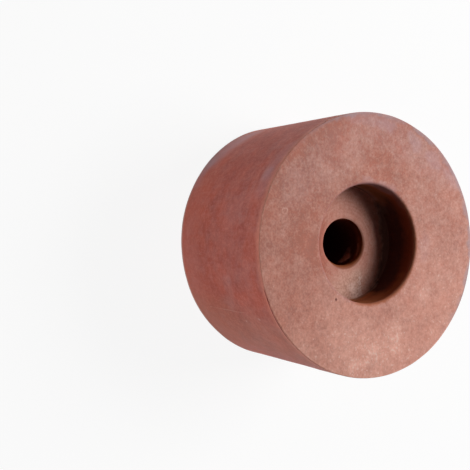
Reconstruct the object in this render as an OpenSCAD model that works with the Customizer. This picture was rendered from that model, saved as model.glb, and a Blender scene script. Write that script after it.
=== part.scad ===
// Tapered rubber stopper, moulded in one piece. It stands on its small end: the origin is the
// centre of that end and +Z runs up the axis to the wide end. A tapered recess is moulded into
// the wide end, and a straight hole runs from the recess floor out through the small end.

/* [Body] */
// Diameter of the wide end, across the corner where its face meets the side
wide_d = 55; // [46:0.5:80]
// Diameter of the small end, across the corner where its face meets the side
small_d = 48.8; // [38:0.1:60]
// Height from the small end to the wide end
height = 33; // [20:0.5:60]

/* [Recess in the wide end] */
// Diameter of the recess across the corner at its mouth
recess_mouth_d = 24.6; // [16:0.1:34]
// Depth of the recess
recess_depth = 8.2; // [3:0.1:14]
// Lean of the recess wall, which lets the mould's core pull out
recess_draft = 1; // [0.5:0.5:14]

/* [Through hole] */
// Diameter of the hole, which grips a tube or a rod
hole_d = 10; // [4:0.1:12]

/* [Edges] */
// Rounding of the outer edge of the wide end
wide_edge_r = 0.2; // [0.1:0.1:2]
// Rounding of the outer edge of the small end
small_edge_r = 0.2; // [0.1:0.1:2]
// Rounding of the lip at the recess mouth
recess_lip_r = 0.7; // [0.2:0.1:1.5]
// Fillet where the recess wall meets its floor
recess_corner_r = 0.5; // [0.2:0.1:1.5]
// Rounding of the lip at each end of the hole
hole_lip_r = 0.7; // [0.1:0.1:1]

/* [Hidden] */
$fn = 180;
rubber_red = "#A96A5E";
// How far a cutter reaches past the surface that it cuts
reach = 0.5;
// How far an arc crosses the edges that it blends, so that it never just misses them
bite = 0.0005;

wide_r = wide_d / 2;
small_r = small_d / 2;
hole_r = hole_d / 2;
mouth_r = recess_mouth_d / 2;
recess_floor_z = height - recess_depth;
recess_floor_r = mouth_r - recess_depth * tan(recess_draft);

// Corners of the half section, as [distance from the axis, height]
small_corner = [small_r, 0];
wide_corner = [wide_r, height];
mouth_corner = [mouth_r, height];
floor_corner = [recess_floor_r, recess_floor_z];
hole_top = [hole_r, recess_floor_z];
hole_bottom = [hole_r, 0];
axis_floor = [0, recess_floor_z];

function unit(v) = v / norm(v);

// What a rounding takes off the corner between two straight edges: the web outside an arc that
// touches them both. along_a and along_b are any further points on the two edges.
module corner_web(corner, along_a, along_b, radius) {
    to_a = unit(along_a - corner);
    to_b = unit(along_b - corner);
    half_angle = acos(to_a * to_b) / 2;
    touch = radius / tan(half_angle);
    centre = corner + unit(to_a + to_b) * radius / sin(half_angle);
    grow = 1 + reach / radius;
    difference() {
        polygon([
            for (p = [centre, corner + to_a * touch, corner, corner + to_b * touch])
                centre + (p - centre) * grow
        ]);
        translate(centre) circle(r = radius + bite);
    }
}

// The space inside the recess, carried on past its mouth, with its floor corner filleted
module recess_space() {
    above_mouth = mouth_corner + unit(mouth_corner - floor_corner) * reach;
    difference() {
        polygon([axis_floor, floor_corner, above_mouth, [0, above_mouth.y]]);
        corner_web(floor_corner, mouth_corner, axis_floor, recess_corner_r);
    }
}

// Everything to one side of the axis, from the hole out to the tapered side
module half_section() {
    difference() {
        polygon([hole_bottom, small_corner, wide_corner, [hole_r, height]]);
        recess_space();
        corner_web(small_corner, hole_bottom, wide_corner, small_edge_r);
        corner_web(wide_corner, small_corner, mouth_corner, wide_edge_r);
        corner_web(mouth_corner, wide_corner, floor_corner, recess_lip_r);
        corner_web(hole_top, floor_corner, hole_bottom, hole_lip_r);
        corner_web(hole_bottom, hole_top, small_corner, hole_lip_r);
    }
}

module stopper() {
    color(rubber_red) rotate_extrude() half_section();
}

stopper();
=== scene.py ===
"""A tapered stopper of moulded red rubber, standing on its small end under soft studio light."""
import math

import bmesh
import bpy
from mathutils import Matrix, Vector, noise


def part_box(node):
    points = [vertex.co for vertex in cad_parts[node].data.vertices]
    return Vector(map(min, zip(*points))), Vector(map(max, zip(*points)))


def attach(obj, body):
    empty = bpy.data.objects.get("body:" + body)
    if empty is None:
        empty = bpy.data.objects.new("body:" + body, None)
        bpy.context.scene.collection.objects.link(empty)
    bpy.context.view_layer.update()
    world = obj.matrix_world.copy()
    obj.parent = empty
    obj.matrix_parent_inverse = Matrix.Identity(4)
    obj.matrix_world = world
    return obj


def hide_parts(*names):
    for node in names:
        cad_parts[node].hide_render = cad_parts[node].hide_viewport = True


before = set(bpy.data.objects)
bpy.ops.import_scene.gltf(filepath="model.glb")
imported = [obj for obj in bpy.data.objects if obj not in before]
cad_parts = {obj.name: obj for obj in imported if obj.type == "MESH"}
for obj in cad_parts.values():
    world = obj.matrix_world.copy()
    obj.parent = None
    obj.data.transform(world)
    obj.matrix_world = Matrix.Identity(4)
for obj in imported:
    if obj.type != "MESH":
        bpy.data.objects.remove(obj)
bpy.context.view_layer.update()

MM = 0.001

# Sizes in millimetres. The overall ones come from the frame, the others repeat the CAD source.
stopper_low, stopper_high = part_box("stopper")
WIDE_D = (stopper_high[0] - stopper_low[0]) / MM
HEIGHT = (stopper_high[2] - stopper_low[2]) / MM
SMALL_D = 48.8
RECESS_MOUTH_D = 24.6
RECESS_DEPTH = 8.2
RECESS_DRAFT = 1.0
HOLE_D = 10.0
WIDE_EDGE_R = 0.2
SMALL_EDGE_R = 0.2
RECESS_LIP_R = 0.7
RECESS_CORNER_R = 0.5
HOLE_LIP_R = 0.7

FLOOR_Z = HEIGHT - RECESS_DEPTH
FLOOR_R = RECESS_MOUTH_D / 2 - RECESS_DEPTH * math.tan(math.radians(RECESS_DRAFT))
WIDE_R = WIDE_D / 2
MOUTH_R = RECESS_MOUTH_D / 2
HOLE_R = HOLE_D / 2

# How finely the body is drawn. A band under the wide edge is finer, for the flash line in it, and
# points nearer than TOUCHING are one point.
SEGMENTS = 400
ARC_STEPS = 6
EDGE_BAND = 1.0
EDGE_SPACING = 0.09
TOUCHING = 1e-6

# The skin stands out and sinks in soft lumps: their size and how far they swell
SWELLS = [(10, 0.09), (2.6, 0.022)]

# The mould left a broken flash line just under the wide edge, between two angles in degrees: a
# crack along the top of a low ridge. The line wavers, and gaps of about FLASH_GAP break it.
FLASH_DOWN = 0.33
FLASH_LIP_DOWN = 0.78
FLASH_START = -83
FLASH_END = -24
FLASH_FADE = 4
FLASH_WAVE = 1.7
FLASH_WAVER = 0.12
FLASH_GAP = 2.3
FLASH_CONTRAST = 2.5
RIDGE_HEIGHT = 0.03
RIDGE_WIDTH = 0.18
CRACK_DEPTH = 0.05
CRACK_WIDTH = 0.07

# The mould's outer wall stood a little askew and its core pin a little off centre. The core's
# share of the shift ends CORE_REACH outside the recess, and fades over CORE_FADE.
SMALL_END_SHIFT = Vector((-0.30, 0.07, 0))
WIDE_END_SHIFT = Vector((0.20, -0.05, 0))
CORE_SHIFT = Vector((-0.11, -0.24, 0))
CORE_MOUTH_SHIFT = Vector((-0.13, 0.0, 0))
CORE_REACH = 1
CORE_FADE = 12

# Rings turned in the end of the core, strongest at RINGS_R, with a groove and a bead outside them
TURNING_PITCH = 0.75
RING_HEIGHT = 0.02
RINGS_R = 6.6
RINGS_WIDTH = 1.9
GROOVE_DEPTH = 0.05
GROOVE_R = 8.95
GROOVE_WIDTH = 0.16
BEAD_HEIGHT = 0.02
BEAD_R = 9.3
BEAD_WIDTH = 0.2

# A burr of rubber leans into the mouth of the hole on one side, at an angle in degrees
BURR = 0.42
BURR_MIDDLE = 3
BURR_SPREAD = 42
BURR_DOWN = 0.4
BURR_LENGTH = 1.4

# The camera, from the middle of the stopper: a distance in metres and angles in degrees
LENS = 200.0
SENSOR = 36.0
FARTHEST_SEEN = 20
CAMERA_DISTANCE = 0.5513
CAMERA_ELEVATION = 53.34
AXIS_ELEVATION = 55.216
AXIS_AZIMUTH = 0.262
CAMERA_ROLL = 90.834
MIDDLE = Vector((0, 0, HEIGHT / 2 * MM))

# The lamps: places, distances and sizes in metres, angles in degrees
KEY_TILT = 40
KEY_LEAN = 12
KEY_DISTANCE = 0.38
KEY_SIZE = (0.2, 0.2)
KEY_WATTS = 1.45
STRIP_PLACE = (0.09, -0.338, 0.014)
STRIP_SIZE = (0.5, 0.024)
STRIP_WATTS = 0.42


def linear(hex_colour):
    """An sRGB hex colour as the linear RGBA that the shaders take."""
    channels = [int(hex_colour[i:i + 2], 16) / 255 for i in (1, 3, 5)]
    return tuple(c / 12.92 if c <= 0.04045 else ((c + 0.055) / 1.055) ** 2.4 for c in channels) + (1.0,)


def add(tree, kind, settings=None, links=None):
    """Adds a node. links maps an input to a value or to another node's output."""
    node = tree.nodes.new(kind)
    for name, value in (settings or {}).items():
        setattr(node, name, value)
    for name, value in (links or {}).items():
        if isinstance(value, bpy.types.NodeSocket):
            tree.links.new(value, node.inputs[name])
        else:
            node.inputs[name].default_value = value
    return node


# ---- the moulded body

# Each corner of the half section: its place, its rounding, the finishes of the two halves of the
# rounding, then the finish and the point spacing of the straight that follows it.
CORNERS = [
    ((HOLE_R, 0), HOLE_LIP_R, ("bore", "end"), "end", 0.9),
    ((SMALL_D / 2, 0), SMALL_EDGE_R, ("end", "side"), "side", 0.5),
    ((WIDE_R, HEIGHT), WIDE_EDGE_R, ("side", "end"), "end", 0.4),
    ((MOUTH_R, HEIGHT), RECESS_LIP_R, ("end", "end"), "recess_wall", 0.4),
    ((FLOOR_R, FLOOR_Z), RECESS_CORNER_R, ("recess_wall", "recess_floor"), "recess_floor", 0.15),
    ((HOLE_R, FLOOR_Z), HOLE_LIP_R, ("recess_floor", "bore"), "bore", 1.6),
]


def rounding(index):
    """The centre, the start and the turn of the arc that rounds a corner."""
    here = Vector(CORNERS[index][0])
    to_before = (Vector(CORNERS[index - 1][0]) - here).normalized()
    to_after = (Vector(CORNERS[(index + 1) % len(CORNERS)][0]) - here).normalized()
    radius = CORNERS[index][1]
    half = to_before.angle(to_after) / 2
    centre = here + (to_before + to_after).normalized() * radius / math.sin(half)
    start = here + to_before * radius / math.tan(half) - centre
    end = here + to_after * radius / math.tan(half) - centre
    return centre, start, -start.angle_signed(end)


def half_section():
    """The closed half section as (point, finish of the stretch that follows it)."""
    points = []
    for index, (_, _, arc_finishes, finish, spacing) in enumerate(CORNERS):
        centre, start, turn = rounding(index)
        for step in range(ARC_STEPS):
            arc_finish = arc_finishes[2 * step // ARC_STEPS]
            points.append((centre + Matrix.Rotation(turn * step / ARC_STEPS, 2) @ start, arc_finish))
        here = centre + Matrix.Rotation(turn, 2) @ start
        next_centre, next_start, _ = rounding((index + 1) % len(CORNERS))
        stop = next_centre + next_start
        while (stop - here).length > TOUCHING:
            points.append((here, finish))
            left = (stop - here).length
            near_edge = finish == "side" and HEIGHT - here.y < EDGE_BAND + spacing
            wanted = EDGE_SPACING if near_edge else spacing
            here = here + (stop - here) / max(1, round(left / wanted))
    return points


def within_one(share):
    """A share held between 0 and 1."""
    return min(1.0, max(0.0, share))


def swell(point, size, height):
    """Soft unevenness that repeats no pattern: lumps of a size and a height in millimetres."""
    return noise.noise(point / size) * height


def stretch(angle, start, end, fade):
    """1 between two angles in degrees, fading to 0 over fade degrees outside them."""
    middle = (start + end) / 2
    off = abs((angle - middle + 180) % 360 - 180) - (end - start) / 2
    return within_one(1 - off / fade)


def bell(x, middle, width):
    """A smooth hump of height 1."""
    return math.exp(-((x - middle) / width) ** 2)


def flash_line(point, angle):
    """The broken line where the mould's top plate met its wall: a crack along a low ridge."""
    down = HEIGHT - point.z + swell(point, FLASH_WAVE, FLASH_WAVER)
    broken = within_one(0.5 + swell(point, FLASH_GAP, FLASH_CONTRAST))
    open_here = stretch(angle, FLASH_START, FLASH_END, FLASH_FADE) * broken
    ridge = RIDGE_HEIGHT * bell(down, FLASH_DOWN, RIDGE_WIDTH)
    crack = CRACK_DEPTH * bell(down, FLASH_DOWN, CRACK_WIDTH)
    return open_here * (ridge - crack)


def turning(radius):
    """Rings that a lathe tool left in the mould's core, then a deeper groove near the corner."""
    wave = math.cos(2 * math.pi * radius / TURNING_PITCH)
    rings = RING_HEIGHT * wave * bell(radius, RINGS_R, RINGS_WIDTH)
    groove = GROOVE_DEPTH * bell(radius, GROOVE_R, GROOVE_WIDTH)
    bead = BEAD_HEIGHT * bell(radius, BEAD_R, BEAD_WIDTH)
    return rings - groove + bead


def relief(finish, point, facing_out):
    """How far the moulded skin stands out from the true form, in millimetres."""
    angle = math.degrees(math.atan2(point.y, point.x))
    proud = sum(swell(point, size, height) for size, height in SWELLS)
    if finish in ("side", "end") and facing_out > 0:
        proud += flash_line(point, angle) * facing_out ** 2
    if finish == "recess_floor":
        proud += turning(math.hypot(point.x, point.y))
    if finish in ("bore", "recess_floor") and facing_out < 0:
        burr = bell(angle, BURR_MIDDLE, BURR_SPREAD) * bell(point.z, FLOOR_Z - BURR_DOWN, BURR_LENGTH)
        proud -= BURR * burr * facing_out
    return proud


def off_true(point):
    """How far the mould's wall and core pin stood from true at a point, in millimetres."""
    radius = math.hypot(point.x, point.y)
    outer = within_one((radius - MOUTH_R - CORE_REACH) / CORE_FADE)
    up_recess = within_one((point.z - FLOOR_Z) / RECESS_DEPTH)
    core = CORE_SHIFT.lerp(CORE_MOUTH_SHIFT, up_recess)
    wall = SMALL_END_SHIFT.lerp(WIDE_END_SHIFT, point.z / HEIGHT)
    return core.lerp(wall, outer)


def stopper_body(finishes):
    """The body as one lathed skin, with a material slot for each finish."""
    section = half_section()
    count = len(section)
    outward = []
    for index in range(count):
        along = section[(index + 1) % count][0] - section[index - 1][0]
        outward.append(Vector((along.y, -along.x)).normalized())
    mesh = bmesh.new()
    rings = []
    for segment in range(SEGMENTS):
        turn = 2 * math.pi * segment / SEGMENTS
        cos, sin = math.cos(turn), math.sin(turn)
        ring = []
        for (flat, finish), normal in zip(section, outward):
            point = Vector((flat.x * cos, flat.x * sin, flat.y))
            proud = relief(finish, point, normal.x)
            point += off_true(point) + Vector((normal.x * cos, normal.x * sin, normal.y)) * proud
            # rubber flattens where it bears on the bench
            point.z = max(point.z, 0.0)
            ring.append(mesh.verts.new(point * MM))
        rings.append(ring)
    names = list(finishes)
    for segment, ring in enumerate(rings):
        next_ring = rings[(segment + 1) % SEGMENTS]
        for index in range(count):
            after = (index + 1) % count
            face = mesh.faces.new((ring[index], next_ring[index], next_ring[after], ring[after]))
            face.material_index = names.index(section[index][1])
    bmesh.ops.recalc_face_normals(mesh, faces=mesh.faces)
    data = bpy.data.meshes.new("stopper_body")
    mesh.to_mesh(data)
    mesh.free()
    data.shade_smooth()
    for finish in finishes.values():
        data.materials.append(finish)
    body = bpy.data.objects.new("stopper_body", data)
    bpy.context.scene.collection.objects.link(body)
    return body


# ---- marks on the skin, at their places in millimetres

# Bubbles that burst on the end: the middle of each and how strong its pale rim is
BUBBLES = [((-6.4, -21.3, HEIGHT), 0.22), ((-7.7, -14.1, HEIGHT), 0.09), ((0.8, 14.5, HEIGHT), 0.13)]
BUBBLE_R = 0.6
PIT = (11.4, -8.0, HEIGHT)
PIT_R = 0.28

# Each mark below is a line: its start, its end, its half width and its strength.
# Talc on the end. A strength below 0 is where it was rubbed thinner.
END_DRIFTS = [
    ((22.0, 4.0, HEIGHT), (23.0, -3.0, HEIGHT), 8.0, 0.10),
    ((14.0, -6.0, HEIGHT), (19.0, -14.0, HEIGHT), 7.0, 0.08),
    ((-25.0, -1.0, HEIGHT), (-19.0, -3.6, HEIGHT), 6.0, 0.10),
    ((-14.9, -11.4, HEIGHT), (-14.0, -10.5, HEIGHT), 2.5, 0.10),
    ((21.8, 1.2, HEIGHT), (21.7, 1.9, HEIGHT), 1.8, 0.20),
    ((21.5, 7.6, HEIGHT), (17.7, 7.1, HEIGHT), 2.0, 0.16),
    ((24.8, -3.0, HEIGHT), (24.3, -0.5, HEIGHT), 1.6, 0.16),
    ((16.1, -1.0, HEIGHT), (15.5, 0.5, HEIGHT), 2.2, 0.10),
    ((9.4, 15.1, HEIGHT), (11.0, 14.5, HEIGHT), 2.0, 0.10),
    ((14.5, -9.7, HEIGHT), (14.5, -9.0, HEIGHT), 2.0, 0.08),
    ((-20.0, 8.0, HEIGHT), (-12.0, 18.0, HEIGHT), 6.0, 0.08),
    ((0.0, -15.8, HEIGHT), (3.0, -13.4, HEIGHT), 4.0, -0.16),
    ((13.0, -19.0, HEIGHT), (19.5, -12.0, HEIGHT), 6.0, -0.08),
    ((20.0, -1.0, HEIGHT), (18.5, -8.0, HEIGHT), 5.0, 0.08),
    ((-21.0, -5.0, HEIGHT), (-12.0, -18.0, HEIGHT), 7.0, 0.06),
]
# Sulphur bloom on the end, and painted sheen along one rim
END_BLOOMS_AND_SHEEN = [
    ((-25.2, 3.5, HEIGHT), (-24.4, 5.4, HEIGHT), 2.2, 0.30),
    ((-22.3, 11.0, HEIGHT), (-21.0, 12.2, HEIGHT), 2.2, 0.24),
    ((-18.6, 16.3, HEIGHT), (-17.1, 18.0, HEIGHT), 2.2, 0.24),
    ((-15.4, 20.8, HEIGHT), (-13.1, 23.0, HEIGHT), 2.2, 0.24),
    ((-25.0, 2.0, HEIGHT), (-15.0, 20.0, HEIGHT), 5.0, 0.10),
    ((-26.2, -5.5, HEIGHT), (-25.4, 1.0, HEIGHT), 1.8, 0.20),
    ((24.3, 10.0, HEIGHT), (21.5, 15.5, HEIGHT), 2.0, 0.03),
    ((-1.5, 15.0, HEIGHT), (2.5, 15.0, HEIGHT), 2.2, 0.12),
    ((-22.0, -4.0, HEIGHT), (-12.0, -18.0, HEIGHT), 7.0, 0.07),
    ((-13.1, -1.0, HEIGHT), (-11.4, 6.2, HEIGHT), 1.4, 0.24),
]
# On the side: clouds of bloom, a stretch drawn paler as painted light, greyer haze with painted sheen, and
# scratches
SIDE_CLOUDS = [
    ((-5.8, -25.6, 20.3), (-6.5, -25.3, 18.0), 4.0, 0.12),
    ((-4.7, -26.2, 24.0), (-4.7, -26.3, 25.0), 1.6, 0.16),
    ((8.1, -24.7, 18.0), (13.1, -22.3, 16.1), 2.2, 0.12),
]
SIDE_PAINTED_LIGHT = [((16.5, -18.0, 3.0), (20.5, -17.0, 31.0), 11.0, 0.21)]
SIDE_HAZE_AND_SHEEN = [
    ((-12.5, -20.9, 0.2), (-16.5, -18.2, 1.0), 3.2, 0.30),
    ((-17.7, -16.8, 1.2), (-22.0, -11.4, 4.0), 6.0, 0.50),
    ((-10.2, -25.2, 29.8), (-14.3, -23.1, 29.5), 2.6, 0.17),
    ((-14.3, -23.1, 29.5), (-19.7, -18.9, 31.0), 2.8, 0.18),
]
SIDE_SCRATCHES = [
    ((13.7, -20.8, 6.1), (14.6, -21.8, 20.0), 0.15, 0.22),
    ((15.6, -21.6, 25.2), (15.7, -21.6, 25.4), 0.45, 0.40),
    ((16.3, -20.4, 18.9), (16.3, -20.4, 19.0), 0.40, 0.35),
    ((2.5, -24.9, 6.0), (3.4, -25.2, 15.5), 0.12, 0.15),
    ((-9.5, -23.6, 9.0), (-8.9, -24.6, 16.0), 0.12, 0.12),
    ((-14.0, -22.3, 25.6), (-13.7, -22.5, 26.0), 0.35, 0.35),
]
# Where the crack of the flash line is drawn darkest
FLASH_DARKEST = [
    ((10.6, -25.2, HEIGHT), (14.3, -23.3, HEIGHT), 2.2, 1.1),
    ((16.4, -22.0, HEIGHT), (19.0, -20.0, HEIGHT), 1.8, 1.3),
    ((22.0, -16.5, HEIGHT), (24.3, -13.2, HEIGHT), 2.5, 0.5),
]
# In the recess: thin talc, a heap of it and crumbs swept together; the heap and the crumbs are also
# painted light where the wall shades them
FLOOR_THIN = [((-3.0, -8.5, FLOOR_Z), (6.0, -8.0, FLOOR_Z), 5.5, -0.38)]
FLOOR_HEAP_AND_LIGHT = [((9.4, 2.4, FLOOR_Z), (11.0, 3.6, FLOOR_Z), 1.7, 0.60)]
SWEPT_CRUMBS_AND_LIGHT = [((7.2, 4.4, FLOOR_Z), (10.6, 4.2, FLOOR_Z), 0.9, 0.5)]
# On the wall of the recess: talc at its foot, warm painted bounce light in places, and haze at its lip
WALL_TALC = [
    ((-12.0, -1.0, 25.2), (-10.0, 6.9, 25.4), 1.6, 0.38),
    ((-9.4, 7.8, 25.8), (-7.7, 9.4, 25.4), 2.2, 0.12),
    ((11.9, 2.6, 24.9), (8.6, 8.6, 24.9), 0.9, 0.35),
]
WALL_BOUNCE_MARKS = [
    ((-12.2, -1.0, 31.0), (-11.0, 5.3, 31.0), 4.0, 0.52),
    ((12.2, 0.0, 29.5), (11.3, 4.6, 29.5), 4.2, 0.86),
    ((-12.0, -5.0, 25.6), (-9.8, 6.8, 26.2), 3.6, 0.42),
    ((12.0, -5.0, 25.0), (10.6, 5.6, 25.4), 2.6, 0.90),
    ((9.8, 7.4, 31.6), (6.6, 10.2, 31.6), 2.0, 0.45),
]
LIP_HAZE = [
    ((-12.2, -2.5, 31.7), (-11.2, 5.2, 31.7), 2.4, 0.90),
    ((-11.2, 5.2, 32.3), (-8.2, 9.2, 32.3), 1.8, 0.32),
]
# Dust down the hole, and painted light where light reaches its wall
BORE_DUST_AND_LIGHT = [
    ((3.4, 3.3, 20.0), (2.8, 3.85, 20.9), 1.3, 1.0),
    ((2.4, 4.1, 20.0), (1.3, 4.6, 20.4), 0.9, 0.40),
    ((0.3, 4.8, 23.4), (2.3, 4.1, 23.8), 0.5, 0.30),
]

# The thick drift of talc in the recess: where it begins, how thick it gets, and the straight edge past
# which it thins
DRIFT_BEGINS = Vector((6.0, -3.0, FLOOR_Z))
DRIFT_SHARE = 0.75
DRIFT_LOW_X = 4.0
DRIFT_FULL_X = 6.0
DRIFT_EDGE_Y = 4.3
# The wiped band on the side, near the wide end
WIPED_START = (-17.0, -19.5, 28.0)
WIPED_END = (-9.0, -25.0, 30.0)
# The recess floor keeps its colour within a circle, and the corner outside it, under the far lip, is
# painted shade
LIT_FLOOR_CENTRE = (0.0, -10.0, FLOOR_Z)
LIT_FLOOR_R = 19.2
# Where on the end the talc is greyest, and where it is pinkest
GREY_TALC_X = -24.0
PINK_TALC_X = 20.0
AXIS = ((0, 0, -1), (0, 0, HEIGHT + 1))

# Directions across the stopper: how the share of talc on the end rises per millimetre, also as painted
# light, the side of the rim with painted sheen and shade, the side towards which the lip's colour grows
# full, where the lip is orange with painted glow, the side of the hole's lip, and across the drift
TALC_AND_LIGHT_LEAN = (0.0075, 0.0035, 0.0)
RIM_SHADED_SIDE = (-0.7, 0.7, 0.0)
LIP_EASED_SIDE = (-0.35, 0.94, 0.0)
LIP_GLOW_SIDE = (0.5, 0.87, 0.0)
HOLE_LIP_SIDE = (0.95, 0.3, 0.0)
DRIFT_WAY = (0.75, 0.65, 0.0)
# How a pattern is squeezed, so that it runs out of the mould or round the stopper
DRAWN_OUT = (1.0, 1.0, 0.1)
WIPED_ROUND = (0.15, 0.15, 1.0)

# ---- colours

END_RED = linear("#C37966")
END_RED_DULL = linear("#AC7264")
TALC_GREY = linear("#F4D0C3")
TALC_PINK = linear("#FFC2AF")
TALC_CRUMB = linear("#F4D9CC")
LAVENDER_BLOOM_AND_SHEEN = linear("#CBACB2")
PIT_PAINTED_SHADE = linear("#581408")
# the rim: a grey band partly of painted sheen, a painted highlight and a painted shade
RIM_GREY_AND_SHEEN = linear("#AE9EA6")
RIM_PAINTED_HIGHLIGHT = linear("#F6B49C")
RIM_PAINTED_SHADE = linear("#6E4546")
# the lip: a painted shade, and orange rubber with a painted glow
LIP_PAINTED_SHADE = linear("#9A6868")
LIP_ORANGE_AND_GLOW = linear("#B0623C")

SIDE_RED = linear("#C35F4D")
SIDE_RED_DEEP = linear("#AB5347")
SMALL_END_PAINTED_LIGHT_RED = linear("#DA6F58")
WAX_BLOOM = linear("#DCAEAC")
PAINTED_LIGHT_TAN = linear("#BC9278")
PALE_GRAIN = linear("#FFA696")
MAUVE_HAZE_AND_SHEEN = linear("#D0ABB1")
EDGE_TALC_AND_LIGHT = linear("#F0A48E")
FLASH_LIP_PALE = linear("#EC9E8C")
CRACK_RED = linear("#7E1E12")
# pale of the scratches, and of a painted highlight on the small edge
PALE_SCRATCH_AND_HIGHLIGHT = linear("#EBC5BA")

FLOOR_RED = linear("#BE7462")
FLOOR_RED_DULL = linear("#AE6A58")
FLOOR_TALC = linear("#EEBFAF")
BARE_SPECK = linear("#A26A58")
DRIFT_TALC = linear("#DEB4A2")
HEAP_TALC_AND_LIGHT = linear("#F8D8CC")
SWEPT_TALC_AND_LIGHT = linear("#EFDDD6")
HOLE_RING_BROWN = linear("#8A4C30")
FLOOR_PAINTED_SHADE = linear("#4A241A")

# the wall colours: the deep one is painted shade low in the recess
WALL_PAINTED_SHADE = linear("#3A140B")
WALL_UPPER = linear("#8C4122")
WALL_LIP = linear("#A05842")
# a warm colour of painted bounce light on the wall
WALL_PAINTED_BOUNCE = linear("#B46C42")
WALL_HAZE = linear("#AC807E")
WALL_FOOT_TALC = linear("#C49C8E")

# the bore colours: the deep ones are painted shade down the hole
BORE_PAINTED_SHADE = linear("#2A0A05")
BORE_WARM = linear("#381009")
BORE_UPPER = linear("#5C2615")
# painted light just below the hole's lip
BORE_LIT_BROWN = linear("#C47A4A")
BORE_LIP = linear("#8E4E30")
BORE_TALC_AND_LIGHT = linear("#F0C0AE")

PAPER_WHITE = linear("#F2F2F2")
LAMP_WHITE = linear("#FFFFFF")

# ---- finishes

RUBBER_IOR = 1.52

# A colour Mix node, and its sockets by number, because several of them share a name
BLEND = {"data_type": "RGBA", "clamp_factor": True}
SHARE = 0
UNDER = 6
OVER = 7
MIXED = 2
# The other settings that repeat
SMOOTH = {"interpolation_type": "SMOOTHSTEP"}
PLUS = {"operation": "ADD"}
MINUS = {"operation": "SUBTRACT"}
TIMES = {"operation": "MULTIPLY"}
TIMES_HELD = {"operation": "MULTIPLY", "use_clamp": True}
TIMES_PLUS = {"operation": "MULTIPLY_ADD"}
SCALED = {"operation": "SCALE"}
ALONG = {"operation": "DOT_PRODUCT"}
APART = {"operation": "DISTANCE"}


def new_finish(name):
    """An empty node material, its place in millimetres on the stopper, and that place's X, Y and Z."""
    finish = bpy.data.materials.new(name)
    finish.use_nodes = True
    tree = finish.node_tree
    tree.nodes.clear()
    where = add(tree, "ShaderNodeTexCoord")
    place = add(tree, "ShaderNodeVectorMath", SCALED, {0: where.outputs["Object"], "Scale": 1 / MM})
    axes = add(tree, "ShaderNodeSeparateXYZ", {}, {0: place.outputs["Vector"]})
    return finish, tree, place.outputs["Vector"], axes.outputs


def uneven(tree, place, base, layers):
    """A share that averages base over the skin. Each layer is a lump size in mm and how far it swings."""
    share = base - sum(swing for _, swing in layers) / 2
    for size, swing in layers:
        lumps = add(
            tree,
            "ShaderNodeTexNoise",
            {},
            {"Vector": place, "Scale": 1 / size, "Detail": 2.0, "Roughness": 0.6},
        )
        moved = add(tree, "ShaderNodeMath", TIMES_PLUS, {0: lumps.outputs["Fac"], 1: swing, 2: share})
        share = moved.outputs[0]
    return share


def away(tree, place, start, end):
    """How far a place is from the line between two points, in millimetres."""
    start = Vector(start)
    along = Vector(end) - start
    if along.length == 0:
        gap = add(tree, "ShaderNodeVectorMath", APART, {0: place, 1: start})
        return gap.outputs["Value"]
    lift = add(tree, "ShaderNodeVectorMath", MINUS, {0: place, 1: start})
    run = add(
        tree,
        "ShaderNodeVectorMath",
        ALONG,
        {0: lift.outputs["Vector"], 1: along / along.length_squared},
    )
    inside = add(tree, "ShaderNodeClamp", {}, {"Value": run.outputs["Value"]})
    step = add(tree, "ShaderNodeVectorMath", SCALED, {0: along, "Scale": inside.outputs[0]})
    gap = add(
        tree,
        "ShaderNodeVectorMath",
        APART,
        {0: lift.outputs["Vector"], 1: step.outputs["Vector"]},
    )
    return gap.outputs["Value"]


def over_to(tree, place, side, start, end, low=0.0, high=1.0):
    """A share that goes from low to high towards one side of the stopper, from start to end in mm."""
    reach = add(tree, "ShaderNodeVectorMath", ALONG, {0: place, 1: side})
    share = add(
        tree,
        "ShaderNodeMapRange",
        SMOOTH,
        {
            "Value": reach.outputs["Value"],
            "From Min": start,
            "From Max": end,
            "To Min": low,
            "To Max": high,
        },
    )
    return share.outputs["Result"]


def close_to(tree, value, middle, inner, outer, strength):
    """A strength where a value is within inner mm of a middle, fading to 0 at outer mm from it."""
    gap = add(tree, "ShaderNodeMath", MINUS, {0: value, 1: middle})
    gap = add(tree, "ShaderNodeMath", {"operation": "ABSOLUTE"}, {0: gap.outputs[0]})
    share = add(
        tree,
        "ShaderNodeMapRange",
        SMOOTH,
        {
            "Value": gap.outputs[0],
            "From Min": inner,
            "From Max": outer,
            "To Min": strength,
            "To Max": 0.0,
        },
    )
    return share.outputs["Result"]


def wander(tree, place, size, reach):
    """A place moved about by up to reach mm, in lumps of a size, so that what is drawn there is ragged."""
    lumps = add(tree, "ShaderNodeTexNoise", {}, {"Vector": place, "Scale": 1 / size, "Detail": 2.0})
    centred = add(tree, "ShaderNodeVectorMath", MINUS, {0: lumps.outputs["Color"], 1: (0.5, 0.5, 0.5)})
    # the noise stays within about a quarter of its middle
    span = 4 * reach
    moved = add(
        tree,
        "ShaderNodeVectorMath",
        TIMES_PLUS,
        {0: centred.outputs["Vector"], 1: (span, span, span), 2: place},
    )
    return moved.outputs["Vector"]


def with_marks(tree, place, share, marks):
    """Adds marks to a share. Each mark is a line, its half width in mm and its strength."""
    for start, end, width, strength in marks:
        near = add(
            tree,
            "ShaderNodeMapRange",
            SMOOTH,
            {
                "Value": away(tree, place, start, end),
                "From Min": 0.25 * width,
                "From Max": width,
                "To Min": strength,
                "To Max": 0.0,
            },
        )
        share = add(tree, "ShaderNodeMath", PLUS, {0: share, 1: near.outputs["Result"]}).outputs[0]
    return share


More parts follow.
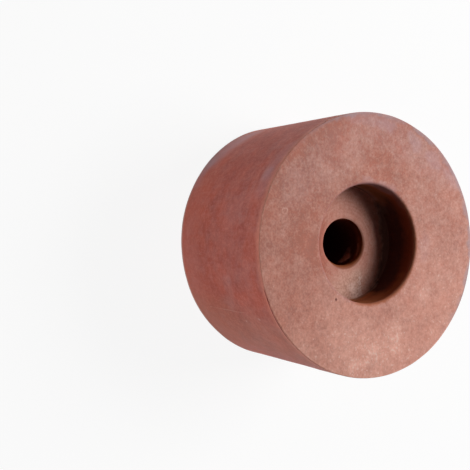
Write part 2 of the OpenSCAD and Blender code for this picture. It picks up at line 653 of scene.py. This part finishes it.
def rubber(finish, tree, colour, height, depth, roughness, gloss):
    """Closes a finish: a rubber skin of a colour, with a height pattern that stands depth mm high."""
    bump = add(tree, "ShaderNodeBump", {}, {"Strength": 1.0, "Distance": depth * MM, "Height": height})
    shader = add(
        tree,
        "ShaderNodeBsdfPrincipled",
        {},
        {
            "Base Color": colour,
            "Roughness": roughness,
            "IOR": RUBBER_IOR,
            "Specular IOR Level": gloss,
            "Normal": bump.outputs["Normal"],
        },
    )
    add(tree, "ShaderNodeOutputMaterial", {}, {"Surface": shader.outputs["BSDF"]})
    return finish


def end_rubber():
    """Compression-moulded red rubber off a flat plate, dusted with talc: matt, chalky pink, speckled."""
    finish, tree, place, axes = new_finish("talc_dusted_red_rubber")
    # the talc lies thicker towards one side of the end, and this rise also serves as painted light,
    # brighter on that side
    lean = add(tree, "ShaderNodeVectorMath", ALONG, {0: place, 1: TALC_AND_LIGHT_LEAN})
    # grains of talc are a few hundredths of a millimetre: drawn at 0.4 mm so that they show
    dust = uneven(tree, place, 0.20, [(9.0, 0.30), (2.6, 0.40), (1.1, 0.50), (0.4, 0.64)])
    dust = add(tree, "ShaderNodeMath", PLUS, {0: dust, 1: lean.outputs["Value"]}).outputs[0]
    ragged = wander(tree, place, 3.0, 0.8)
    dust = with_marks(tree, ragged, dust, END_DRIFTS)
    # rims of bubbles that burst against the plate: a pale ring round a darker middle
    nearly_round = wander(tree, place, 1.0, 0.12)
    for centre, strength in BUBBLES:
        rim = close_to(tree, away(tree, nearly_round, centre, centre), BUBBLE_R, 0.05, 0.30, strength)
        dust = add(tree, "ShaderNodeMath", PLUS, {0: dust, 1: rim}).outputs[0]

    tint = uneven(tree, place, 0.5, [(6.0, 1.6), (1.8, 0.8), (0.5, 1.2)])
    clean = add(
        tree,
        "ShaderNodeMix",
        BLEND,
        {SHARE: tint, UNDER: END_RED, OVER: END_RED_DULL},
    ).outputs[MIXED]
    # the talc is greyer on the far side of the end and takes up more of the red on the near side
    near_side = add(
        tree,
        "ShaderNodeMapRange",
        {},
        {"Value": axes["X"], "From Min": GREY_TALC_X, "From Max": PINK_TALC_X},
    ).outputs[0]
    talc = add(
        tree,
        "ShaderNodeMix",
        BLEND,
        {SHARE: near_side, UNDER: TALC_GREY, OVER: TALC_PINK},
    ).outputs[MIXED]
    dusty = add(tree, "ShaderNodeMix", BLEND, {SHARE: dust, UNDER: clean, OVER: talc}).outputs[MIXED]
    # sulphur that bloomed to the skin near one rim reads lavender, and there it is also a painted sheen
    bloom = with_marks(tree, ragged, uneven(tree, place, 0.0, [(2.0, 0.16)]), END_BLOOMS_AND_SHEEN)
    bloomed = add(
        tree,
        "ShaderNodeMix",
        BLEND,
        {SHARE: bloom, UNDER: dusty, OVER: LAVENDER_BLOOM_AND_SHEEN},
    ).outputs[MIXED]
    # crumbs of talc, half a millimetre across, that stick out of the dust where it is thick
    crumbs = add(
        tree,
        "ShaderNodeTexNoise",
        {},
        {"Vector": place, "Scale": 1 / 0.6, "Detail": 1.0, "Roughness": 0.5},
    )
    crowd = add(tree, "ShaderNodeMath", TIMES_PLUS, {0: dust, 1: 0.45, 2: crumbs.outputs["Fac"]})
    crumb = add(
        tree,
        "ShaderNodeMapRange",
        SMOOTH,
        {"Value": crowd.outputs[0], "From Min": 0.80, "From Max": 0.98, "To Max": 0.45},
    ).outputs[0]
    crumbed = add(
        tree,
        "ShaderNodeMix",
        BLEND,
        {SHARE: crumb, UNDER: bloomed, OVER: TALC_CRUMB},
    ).outputs[MIXED]
    # a pit, painted dark: painted shade for its depth, over clean rubber
    deep = add(
        tree,
        "ShaderNodeMapRange",
        SMOOTH,
        {
            "Value": away(tree, place, PIT, PIT),
            "From Min": 0.5 * PIT_R,
            "From Max": 1.4 * PIT_R,
            "To Min": 0.85,
            "To Max": 0.0,
        },
    ).outputs[0]
    pitted = add(
        tree,
        "ShaderNodeMix",
        BLEND,
        {SHARE: deep, UNDER: crumbed, OVER: PIT_PAINTED_SHADE},
    ).outputs[MIXED]
    # the rim: on one side a painted highlight on the edge; on the other a greyed band, partly painted
    # sheen, and a painted shade on the edge itself
    from_axis = away(tree, place, *AXIS)
    from_ragged_axis = away(tree, ragged, *AXIS)
    near_rim = add(
        tree,
        "ShaderNodeMapRange",
        SMOOTH,
        {"Value": from_ragged_axis, "From Min": WIDE_R - 1.3, "From Max": WIDE_R - 0.2, "To Max": 0.55},
    ).outputs[0]
    at_rim = add(
        tree,
        "ShaderNodeMapRange",
        SMOOTH,
        {"Value": from_axis, "From Min": WIDE_R - 0.35, "From Max": WIDE_R - 0.1},
    ).outputs[0]
    shade_side = over_to(tree, place, RIM_SHADED_SIDE, -3.0, 14.0)
    share = add(tree, "ShaderNodeMath", TIMES, {0: near_rim, 1: shade_side}).outputs[0]
    greyed = add(
        tree,
        "ShaderNodeMix",
        BLEND,
        {SHARE: share, UNDER: pitted, OVER: RIM_GREY_AND_SHEEN},
    ).outputs[MIXED]
    rim = add(
        tree,
        "ShaderNodeMix",
        BLEND,
        {SHARE: shade_side, UNDER: RIM_PAINTED_HIGHLIGHT, OVER: RIM_PAINTED_SHADE},
    ).outputs[MIXED]
    marked = add(tree, "ShaderNodeMath", TIMES_PLUS, {0: shade_side, 1: 0.35, 2: 0.20}).outputs[0]
    share = add(tree, "ShaderNodeMath", TIMES, {0: at_rim, 1: marked}).outputs[0]
    rimmed = add(tree, "ShaderNodeMix", BLEND, {SHARE: share, UNDER: greyed, OVER: rim}).outputs[MIXED]
    # the core wiped the lip of the recess as it was drawn, down to orange brown rubber on one side, which
    # also carries a painted warm glow; on the other side painted shade dulls it where the lamp lights it
    glow_side = over_to(tree, place, LIP_GLOW_SIDE, 0.5, 5.5)
    lip = add(
        tree,
        "ShaderNodeMix",
        BLEND,
        {SHARE: glow_side, UNDER: LIP_PAINTED_SHADE, OVER: LIP_ORANGE_AND_GLOW},
    ).outputs[MIXED]
    from_lip_axis = away(tree, wander(tree, place, 0.8, 0.15), *AXIS)
    wiped = add(
        tree,
        "ShaderNodeMapRange",
        SMOOTH,
        {
            "Value": from_lip_axis,
            "From Min": MOUTH_R + 0.10,
            "From Max": MOUTH_R + 0.80,
            "To Min": 0.80,
            "To Max": 0.0,
        },
    ).outputs[0]
    on_top = add(
        tree,
        "ShaderNodeMath",
        {"operation": "GREATER_THAN"},
        {0: axes["Z"], 1: HEIGHT / 2},
    ).outputs[0]
    share = add(tree, "ShaderNodeMath", TIMES, {0: wiped, 1: on_top}).outputs[0]
    eased = over_to(tree, place, LIP_EASED_SIDE, -10.0, -2.0, 0.68, 1.0)
    share = add(tree, "ShaderNodeMath", TIMES, {0: share, 1: eased}).outputs[0]
    colour = add(tree, "ShaderNodeMix", BLEND, {SHARE: share, UNDER: rimmed, OVER: lip}).outputs[MIXED]
    return rubber(finish, tree, colour, dust, depth=0.05, roughness=0.85, gloss=0.3)


def side_rubber():
    """Red rubber off the smooth wall of the mould: satin, redder, clouded by a thin bloom of wax."""
    finish, tree, place, axes = new_finish("satin_red_rubber")
    height = axes["Z"]
    tint = uneven(tree, place, 0.5, [(7.0, 2.2), (2.5, 1.2), (1.0, 0.6)])
    red = add(
        tree,
        "ShaderNodeMix",
        BLEND,
        {SHARE: tint, UNDER: SIDE_RED, OVER: SIDE_RED_DEEP},
    ).outputs[MIXED]
    # painted light: the red is brighter towards the small end, where the shaded floor sends the side less
    # light
    low_down = add(
        tree,
        "ShaderNodeMapRange",
        SMOOTH,
        {"Value": height, "From Min": 0.0, "From Max": 14.0, "To Min": 0.75, "To Max": 0.0},
    ).outputs[0]
    red = add(
        tree,
        "ShaderNodeMix",
        BLEND,
        {SHARE: low_down, UNDER: red, OVER: SMALL_END_PAINTED_LIGHT_RED},
    ).outputs[MIXED]
    bloom = uneven(tree, place, 0.045, [(8.0, 0.40), (3.0, 0.24), (1.1, 0.12)])
    # it is thicker towards the small end, as haze and as painted light
    settled = add(
        tree,
        "ShaderNodeMapRange",
        {},
        {"Value": height, "From Min": 0.0, "From Max": 8.0, "To Min": 0.10, "To Max": 0.0},
    ).outputs[0]
    bloom = add(tree, "ShaderNodeMath", PLUS, {0: bloom, 1: settled}).outputs[0]
    # faint draw marks along the way it left the mould
    drawn = add(tree, "ShaderNodeVectorMath", TIMES, {0: place, 1: DRAWN_OUT}).outputs["Vector"]
    draw_marks = uneven(tree, drawn, 0.0, [(0.9, 0.20)])
    bloom = add(tree, "ShaderNodeMath", PLUS, {0: bloom, 1: draw_marks}).outputs[0]
    # wipe marks round it, near the wide end
    wiped = add(tree, "ShaderNodeVectorMath", TIMES, {0: place, 1: WIPED_ROUND}).outputs["Vector"]
    wipe_marks = uneven(tree, wiped, 0.0, [(1.5, 0.36)])
    near_wipe = add(
        tree,
        "ShaderNodeMapRange",
        SMOOTH,
        {
            "Value": away(tree, place, WIPED_START, WIPED_END),
            "From Min": 2.0,
            "From Max": 9.0,
            "To Min": 1.0,
            "To Max": 0.08,
        },
    ).outputs[0]
    bloom = add(tree, "ShaderNodeMath", TIMES_PLUS, {0: wipe_marks, 1: near_wipe, 2: bloom}).outputs[0]
    bloom = with_marks(tree, wander(tree, place, 2.5, 0.9), bloom, SIDE_CLOUDS)
    skin = add(tree, "ShaderNodeMix", BLEND, {SHARE: bloom, UNDER: red, OVER: WAX_BLOOM}).outputs[MIXED]
    # painted light paling one side of it towards tan
    lower_side_lit = with_marks(tree, wander(tree, place, 5.0, 1.5), 0.0, SIDE_PAINTED_LIGHT)
    skin = add(
        tree,
        "ShaderNodeMix",
        BLEND,
        {SHARE: lower_side_lit, UNDER: skin, OVER: PAINTED_LIGHT_TAN},
    ).outputs[MIXED]
    # the skin itself is finely grained, paler and darker in the same red
    grain = uneven(tree, place, 0.05, [(1.1, 0.30), (0.4, 0.52)])
    skin = add(
        tree,
        "ShaderNodeMix",
        BLEND,
        {SHARE: grain, UNDER: skin, OVER: PALE_GRAIN},
    ).outputs[MIXED]
    # mauve haze, with painted sheen where the upper side catches a cool reflection
    haze = with_marks(tree, wander(tree, place, 2.5, 0.5), 0.0, SIDE_HAZE_AND_SHEEN)
    skin = add(
        tree,
        "ShaderNodeMix",
        BLEND,
        {SHARE: haze, UNDER: skin, OVER: MAUVE_HAZE_AND_SHEEN},
    ).outputs[MIXED]
    # talc carried over the wide edge from the end, most at the edge itself, also painted light where the
    # rounding turns away from the lamps
    from_end = add(
        tree,
        "ShaderNodeMapRange",
        SMOOTH,
        {"Value": height, "From Min": HEIGHT - 2.4, "From Max": HEIGHT - 0.4, "To Max": 0.34},
    ).outputs[0]
    at_edge = add(
        tree,
        "ShaderNodeMapRange",
        SMOOTH,
        {"Value": height, "From Min": HEIGHT - 0.4, "From Max": HEIGHT - 0.12, "To Max": 0.3},
    ).outputs[0]
    carried = uneven(tree, place, 0.0, [(1.4, 0.3)])
    talc = add(tree, "ShaderNodeMath", PLUS, {0: from_end, 1: carried}).outputs[0]
    talc = add(tree, "ShaderNodeMath", PLUS, {0: talc, 1: at_edge}).outputs[0]
    edged = add(
        tree,
        "ShaderNodeMix",
        BLEND,
        {SHARE: talc, UNDER: skin, OVER: EDGE_TALC_AND_LIGHT},
    ).outputs[MIXED]
    # the flash line: its lower lip is rubbed pale, and its crack is drawn dark red
    waver = add(
        tree,
        "ShaderNodeSeparateXYZ",
        {},
        {0: wander(tree, place, FLASH_WAVE, 0.05)},
    ).outputs["Z"]
    on_lip = close_to(tree, waver, HEIGHT - FLASH_LIP_DOWN, 0.05, 0.32, 0.4)
    share = add(
        tree,
        "ShaderNodeMath",
        TIMES_HELD,
        {0: on_lip, 1: uneven(tree, place, 0.4, [(2.4, 2.4)])},
    ).outputs[0]
    edged = add(
        tree,
        "ShaderNodeMix",
        BLEND,
        {SHARE: share, UNDER: edged, OVER: FLASH_LIP_PALE},
    ).outputs[MIXED]
    in_crack = close_to(tree, waver, HEIGHT - FLASH_DOWN, 0.06, 0.25, 0.9)
    cracked = with_marks(tree, place, uneven(tree, place, -0.2, [(1.2, 2.2)]), FLASH_DARKEST)
    share = add(tree, "ShaderNodeMath", TIMES_HELD, {0: in_crack, 1: cracked}).outputs[0]
    darkened = add(
        tree,
        "ShaderNodeMix",
        BLEND,
        {SHARE: share, UNDER: edged, OVER: CRACK_RED},
    ).outputs[MIXED]
    scuffs = with_marks(tree, wander(tree, place, 1.5, 0.08), 0.0, SIDE_SCRATCHES)
    # a painted highlight along the small edge, where its rounding catches light
    painted_bright = add(
        tree,
        "ShaderNodeMapRange",
        SMOOTH,
        {"Value": height, "From Min": 0.15, "From Max": 0.9, "To Min": 0.75, "To Max": 0.0},
    ).outputs[0]
    scuffs_and_highlight = add(tree, "ShaderNodeMath", PLUS, {0: scuffs, 1: painted_bright}).outputs[0]
    colour = add(
        tree,
        "ShaderNodeMix",
        BLEND,
        {SHARE: scuffs_and_highlight, UNDER: darkened, OVER: PALE_SCRATCH_AND_HIGHLIGHT},
    ).outputs[MIXED]
    return rubber(finish, tree, colour, bloom, depth=0.04, roughness=0.62, gloss=0.25)


def recess_floor_rubber():
    """The turned bottom of the recess: talc lies in it, greyer than on the end and thick on one side."""
    finish, tree, place, _ = new_finish("talc_in_recess")
    dust = uneven(tree, place, 0.28, [(2.4, 0.40), (1.0, 0.45), (0.4, 0.60)])
    dust = with_marks(tree, place, dust, FLOOR_THIN)
    # it settled in the rings that were turned in the mould
    from_axis = away(tree, place, *AXIS)
    turns = add(
        tree,
        "ShaderNodeMath",
        TIMES,
        {0: from_axis, 1: 2 * math.pi / TURNING_PITCH},
    ).outputs[0]
    wave = add(tree, "ShaderNodeMath", {"operation": "SINE"}, {0: turns}).outputs[0]
    broken = uneven(tree, place, 0.02, [(3.0, 0.26)])
    settled = add(tree, "ShaderNodeMath", TIMES_PLUS, {0: wave, 1: broken, 2: dust}).outputs[0]
    mottle = uneven(tree, place, 0.5, [(2.5, 1.0), (0.5, 1.6)])
    colour = add(
        tree,
        "ShaderNodeMix",
        BLEND,
        {SHARE: mottle, UNDER: FLOOR_RED, OVER: FLOOR_RED_DULL},
    ).outputs[MIXED]
    colour = add(
        tree,
        "ShaderNodeMix",
        BLEND,
        {SHARE: settled, UNDER: colour, OVER: FLOOR_TALC},
    ).outputs[MIXED]
    # a thick drift on one side, with crumbs and bare specks in it
    lifted = uneven(tree, place, 0.7, [(0.9, 0.8), (0.45, 1.8)])
    talc = add(
        tree,
        "ShaderNodeMix",
        BLEND,
        {SHARE: lifted, UNDER: BARE_SPECK, OVER: DRIFT_TALC},
    ).outputs[MIXED]
    thick = drifted(tree, place)
    colour = add(tree, "ShaderNodeMix", BLEND, {SHARE: thick, UNDER: colour, OVER: talc}).outputs[MIXED]
    # a heap of talc, brightened as painted light where the wall shades it
    heap = with_marks(tree, wander(tree, place, 1.2, 0.3), 0.0, FLOOR_HEAP_AND_LIGHT)
    clotted = uneven(tree, place, 0.62, [(0.9, 1.0), (0.45, 1.2)])
    share = add(tree, "ShaderNodeMath", TIMES_HELD, {0: heap, 1: clotted}).outputs[0]
    colour = add(
        tree,
        "ShaderNodeMix",
        BLEND,
        {SHARE: share, UNDER: colour, OVER: HEAP_TALC_AND_LIGHT},
    ).outputs[MIXED]
    # swept crumbs of talc, brightened as painted light in the wall's shade
    swept = with_marks(tree, wander(tree, place, 0.8, 0.25), 0.0, SWEPT_CRUMBS_AND_LIGHT)
    speck = uneven(tree, place, 0.3, [(0.45, 4.0)])
    share = add(tree, "ShaderNodeMath", TIMES, {0: swept, 1: speck}).outputs[0]
    colour = add(
        tree,
        "ShaderNodeMix",
        BLEND,
        {SHARE: share, UNDER: colour, OVER: SWEPT_TALC_AND_LIGHT},
    ).outputs[MIXED]
    # a brown ring round the hole, on one side
    ring = add(
        tree,
        "ShaderNodeMapRange",
        SMOOTH,
        {
            "Value": from_axis,
            "From Min": HOLE_R + 0.05,
            "From Max": HOLE_R + 0.54,
            "To Min": 0.9,
            "To Max": 0.0,
        },
    ).outputs[0]
    share = add(tree, "ShaderNodeMath", TIMES, {0: ring, 1: hole_lip_side(tree, place)}).outputs[0]
    colour = add(
        tree,
        "ShaderNodeMix",
        BLEND,
        {SHARE: share, UNDER: colour, OVER: HOLE_RING_BROWN},
    ).outputs[MIXED]
    # painted shade in the corner under the far lip, which shades the floor there
    from_lit_floor = away(tree, wander(tree, place, 2.0, 0.5), LIT_FLOOR_CENTRE, LIT_FLOOR_CENTRE)
    floor_shade = add(
        tree,
        "ShaderNodeMapRange",
        SMOOTH,
        {"Value": from_lit_floor, "From Min": LIT_FLOOR_R, "From Max": LIT_FLOOR_R + 1.2},
    ).outputs[0]
    colour = add(
        tree,
        "ShaderNodeMix",
        BLEND,
        {SHARE: floor_shade, UNDER: colour, OVER: FLOOR_PAINTED_SHADE},
    ).outputs[MIXED]
    return rubber(finish, tree, colour, dust, depth=0.05, roughness=0.85, gloss=0.3)


def hole_lip_side(tree, place):
    """1 on one side of the hole, 0 across from it."""
    return over_to(tree, place, HOLE_LIP_SIDE, -4.0, 3.5)


def drifted(tree, place):
    """The share of thick talc in the recess: a drift that thins past a straight edge."""
    ragged = wander(tree, place, 1.5, 0.25)
    across = add(tree, "ShaderNodeVectorMath", MINUS, {0: ragged, 1: DRIFT_BEGINS}).outputs["Vector"]
    begun = over_to(tree, across, DRIFT_WAY, -0.5, 5.0, 0.0, DRIFT_SHARE)
    axes = add(tree, "ShaderNodeSeparateXYZ", {}, {0: ragged}).outputs
    low_side = add(
        tree,
        "ShaderNodeMapRange",
        SMOOTH,
        {"Value": axes["X"], "From Min": DRIFT_LOW_X, "From Max": DRIFT_FULL_X},
    ).outputs[0]
    past_edge = add(
        tree,
        "ShaderNodeMapRange",
        SMOOTH,
        {
            "Value": axes["Y"],
            "From Min": DRIFT_EDGE_Y,
            "From Max": DRIFT_EDGE_Y + 0.6,
            "To Min": 1.0,
            "To Max": 0.4,
        },
    ).outputs[0]
    share = add(tree, "ShaderNodeMath", TIMES, {0: begun, 1: past_edge}).outputs[0]
    share = add(tree, "ShaderNodeMath", TIMES, {0: share, 1: low_side}).outputs[0]
    return share


def recess_wall_rubber():
    """The wall of the recess, wiped clean as the core was drawn: deep brown red, darkened further by
    painted shade low down, warmer at the lip.
    """
    finish, tree, place, axes = new_finish("brown_red_rubber_painted_shade")
    height = axes["Z"]
    patchy = uneven(tree, place, 0.0, [(2.2, 0.5), (0.8, 0.3)])
    # painted shade: the wall is darkest low in the recess and lighter towards the lip
    upper = add(
        tree,
        "ShaderNodeMapRange",
        SMOOTH,
        {"Value": height, "From Min": HEIGHT - 5.0, "From Max": HEIGHT - 1.0},
    ).outputs[0]
    share = add(tree, "ShaderNodeMath", PLUS, {0: upper, 1: patchy}).outputs[0]
    colour = add(
        tree,
        "ShaderNodeMix",
        BLEND,
        {SHARE: share, UNDER: WALL_PAINTED_SHADE, OVER: WALL_UPPER},
    ).outputs[MIXED]
    lip = add(
        tree,
        "ShaderNodeMapRange",
        SMOOTH,
        {"Value": height, "From Min": HEIGHT - 1.8, "From Max": HEIGHT - 0.5},
    ).outputs[0]
    colour = add(
        tree,
        "ShaderNodeMix",
        BLEND,
        {SHARE: lip, UNDER: colour, OVER: WALL_LIP},
    ).outputs[MIXED]
    # warm painted bounce light, where light from the lit floor would brighten the wall
    bounce_lit = with_marks(tree, wander(tree, place, 2.0, 0.5), 0.0, WALL_BOUNCE_MARKS)
    colour = add(
        tree,
        "ShaderNodeMix",
        BLEND,
        {SHARE: bounce_lit, UNDER: colour, OVER: WALL_PAINTED_BOUNCE},
    ).outputs[MIXED]
    # the talc of the end reaches a little way over the lip
    haze = with_marks(tree, wander(tree, place, 1.5, 0.2), 0.0, LIP_HAZE)
    colour = add(
        tree,
        "ShaderNodeMix",
        BLEND,
        {SHARE: haze, UNDER: colour, OVER: WALL_HAZE},
    ).outputs[MIXED]
    # talc climbs the foot of the wall, thickest at the drift
    foot = with_marks(tree, wander(tree, place, 2.0, 0.3), 0.0, WALL_TALC)
    colour = add(
        tree,
        "ShaderNodeMix",
        BLEND,
        {SHARE: foot, UNDER: colour, OVER: WALL_FOOT_TALC},
    ).outputs[MIXED]
    return rubber(finish, tree, colour, patchy, depth=0.04, roughness=0.8, gloss=0.15)


def bore_rubber():
    """Clean rubber where the core pin of the mould slid out: a warm red brown, painted darkest down the
    hole as painted shade.
    """
    finish, tree, place, axes = new_finish("core_rubber_painted_shade")
    height = axes["Z"]
    mottle = uneven(tree, place, 0.5, [(1.5, 1.2)])
    deep = add(
        tree,
        "ShaderNodeMix",
        BLEND,
        {SHARE: mottle, UNDER: BORE_PAINTED_SHADE, OVER: BORE_WARM},
    ).outputs[MIXED]
    # painted shade: darkest deep in the hole, lighter towards its mouth
    upper = add(
        tree,
        "ShaderNodeMapRange",
        SMOOTH,
        {"Value": height, "From Min": FLOOR_Z - 9.0, "From Max": FLOOR_Z - 1.0},
    ).outputs[0]
    colour = add(
        tree,
        "ShaderNodeMix",
        BLEND,
        {SHARE: upper, UNDER: deep, OVER: BORE_UPPER},
    ).outputs[MIXED]
    lip = add(
        tree,
        "ShaderNodeMapRange",
        SMOOTH,
        {"Value": height, "From Min": FLOOR_Z - 2.6, "From Max": FLOOR_Z - 0.3},
    ).outputs[0]
    share = add(tree, "ShaderNodeMath", TIMES, {0: lip, 1: hole_lip_side(tree, place)}).outputs[0]
    # on one side it is painted orange just below the lip, painted light where light reaches in, and the
    # lip itself is drawn darker
    rise = add(
        tree,
        "ShaderNodeMapRange",
        SMOOTH,
        {"Value": height, "From Min": FLOOR_Z - 1.3, "From Max": FLOOR_Z - 0.4},
    ).outputs[0]
    painted_bright = add(
        tree,
        "ShaderNodeMix",
        BLEND,
        {SHARE: rise, UNDER: BORE_LIT_BROWN, OVER: BORE_LIP},
    ).outputs[MIXED]
    colour = add(tree, "ShaderNodeMix", BLEND, {SHARE: share, UNDER: colour, OVER: painted_bright}).outputs[MIXED]
    # pale talc and painted light on the bore wall where light reaches down the hole
    dust_and_light = with_marks(tree, wander(tree, place, 1.2, 0.3), 0.0, BORE_DUST_AND_LIGHT)
    colour = add(
        tree,
        "ShaderNodeMix",
        BLEND,
        {SHARE: dust_and_light, UNDER: colour, OVER: BORE_TALC_AND_LIGHT},
    ).outputs[MIXED]
    return rubber(finish, tree, colour, mottle, depth=0.02, roughness=0.8, gloss=0.05)


# ---- stage

def softbox(name, place, size, watts, colour):
    """A rectangular soft light at a place, facing the stopper."""
    lamp = bpy.data.lights.new(name, "AREA")
    lamp.shape = "RECTANGLE"
    lamp.size, lamp.size_y = size
    lamp.energy = watts
    lamp.color = colour[:3]
    holder = bpy.data.objects.new(name, lamp)
    holder.location = place
    holder.rotation_euler = (MIDDLE - Vector(place)).to_track_quat("-Z", "Y").to_euler()
    bpy.context.scene.collection.objects.link(holder)


def seen_white(tree):
    """1 on the rays that see the backdrop itself: from the camera, in gloss and through glass."""
    rays = add(tree, "ShaderNodeLightPath").outputs
    seen = add(
        tree,
        "ShaderNodeMath",
        {"operation": "MAXIMUM"},
        {0: rays["Is Camera Ray"], 1: rays["Is Glossy Ray"]},
    ).outputs[0]
    seen = add(
        tree,
        "ShaderNodeMath",
        {"operation": "MAXIMUM"},
        {0: seen, 1: rays["Is Transmission Ray"]},
    ).outputs[0]
    return seen


def floor():
    """White paper, with enough of its own white that the ground reads white but keeps the shadow."""
    half_side = 1.5
    own_white = 0.91
    unlit_r = 9 * MM
    white_r = 10 * MM
    mesh = bmesh.new()
    bmesh.ops.create_grid(mesh, x_segments=1, y_segments=1, size=half_side)
    data = bpy.data.meshes.new("floor")
    mesh.to_mesh(data)
    mesh.free()
    plane = bpy.data.objects.new("floor", data)
    bpy.context.scene.collection.objects.link(plane)
    material = bpy.data.materials.new("white_paper_sweep")
    material.use_nodes = True
    tree = material.node_tree
    tree.nodes.clear()
    paper = add(tree, "ShaderNodeBsdfDiffuse", {}, {"Color": PAPER_WHITE})
    glow = add(tree, "ShaderNodeEmission", {}, {"Strength": 1.0})
    # the paper seen down the hole is only lit from above
    where = add(tree, "ShaderNodeTexCoord")
    from_hole = add(
        tree,
        "ShaderNodeVectorMath",
        {"operation": "LENGTH"},
        {0: where.outputs["Object"]},
    ).outputs["Value"]
    clear = add(
        tree,
        "ShaderNodeMapRange",
        {},
        {"Value": from_hole, "From Min": unlit_r, "From Max": white_r, "To Max": own_white},
    ).outputs[0]
    share = add(tree, "ShaderNodeMath", TIMES, {0: seen_white(tree), 1: clear}).outputs[0]
    mix = add(tree, "ShaderNodeMixShader", {}, {0: share, 1: paper.outputs[0], 2: glow.outputs[0]})
    add(tree, "ShaderNodeOutputMaterial", {}, {"Surface": mix.outputs[0]})
    data.materials.append(material)


def studio_air():
    """A white room that is seen white, with only a little light of its own."""
    own_light = 0.02
    room = bpy.data.worlds.new("white_studio")
    room.use_nodes = True
    tree = room.node_tree
    tree.nodes.clear()
    level = add(
        tree,
        "ShaderNodeMapRange",
        {},
        {"Value": seen_white(tree), "To Min": own_light, "To Max": 1.0},
    )
    back = add(tree, "ShaderNodeBackground", {}, {"Color": (1, 1, 1, 1), "Strength": level.outputs[0]})
    add(tree, "ShaderNodeOutputWorld", {}, {"Surface": back.outputs[0]})
    bpy.context.scene.world = room


def camera():
    """A long lens looking down on the wide end, rolled so that the axis lies along the frame."""
    data = bpy.data.cameras.new("camera")
    data.lens = LENS
    data.sensor_width = SENSOR
    data.clip_end = FARTHEST_SEEN
    holder = bpy.data.objects.new("camera", data)
    up = math.radians(CAMERA_ELEVATION)
    holder.matrix_world = (
        Matrix.Translation(MIDDLE + Vector((0, -math.cos(up), math.sin(up))) * CAMERA_DISTANCE)
        @ Matrix.Rotation(math.radians(AXIS_AZIMUTH), 4, "Z")
        @ Matrix.Rotation(math.radians(90 - AXIS_ELEVATION), 4, "X")
        @ Matrix.Rotation(math.radians(CAMERA_ROLL), 4, "Z")
    )
    bpy.context.scene.collection.objects.link(holder)
    bpy.context.scene.camera = holder


def lights():
    """A soft key over the far edge of the wide end, and a low strip that opens the near side."""
    lean = math.tan(math.radians(KEY_LEAN))
    tilt = math.tan(math.radians(KEY_TILT))
    towards = Vector((-lean, tilt, 1.0)).normalized()
    softbox("key", MIDDLE + towards * KEY_DISTANCE, KEY_SIZE, KEY_WATTS, LAMP_WHITE)
    softbox("low_strip", STRIP_PLACE, STRIP_SIZE, STRIP_WATTS, LAMP_WHITE)


camera()
body = stopper_body(
    {
        "end": end_rubber(),
        "side": side_rubber(),
        "recess_floor": recess_floor_rubber(),
        "recess_wall": recess_wall_rubber(),
        "bore": bore_rubber(),
    }
)
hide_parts("stopper")
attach(body, "root")

floor()
studio_air()
lights()
bpy.context.scene.view_settings.view_transform = "Standard"
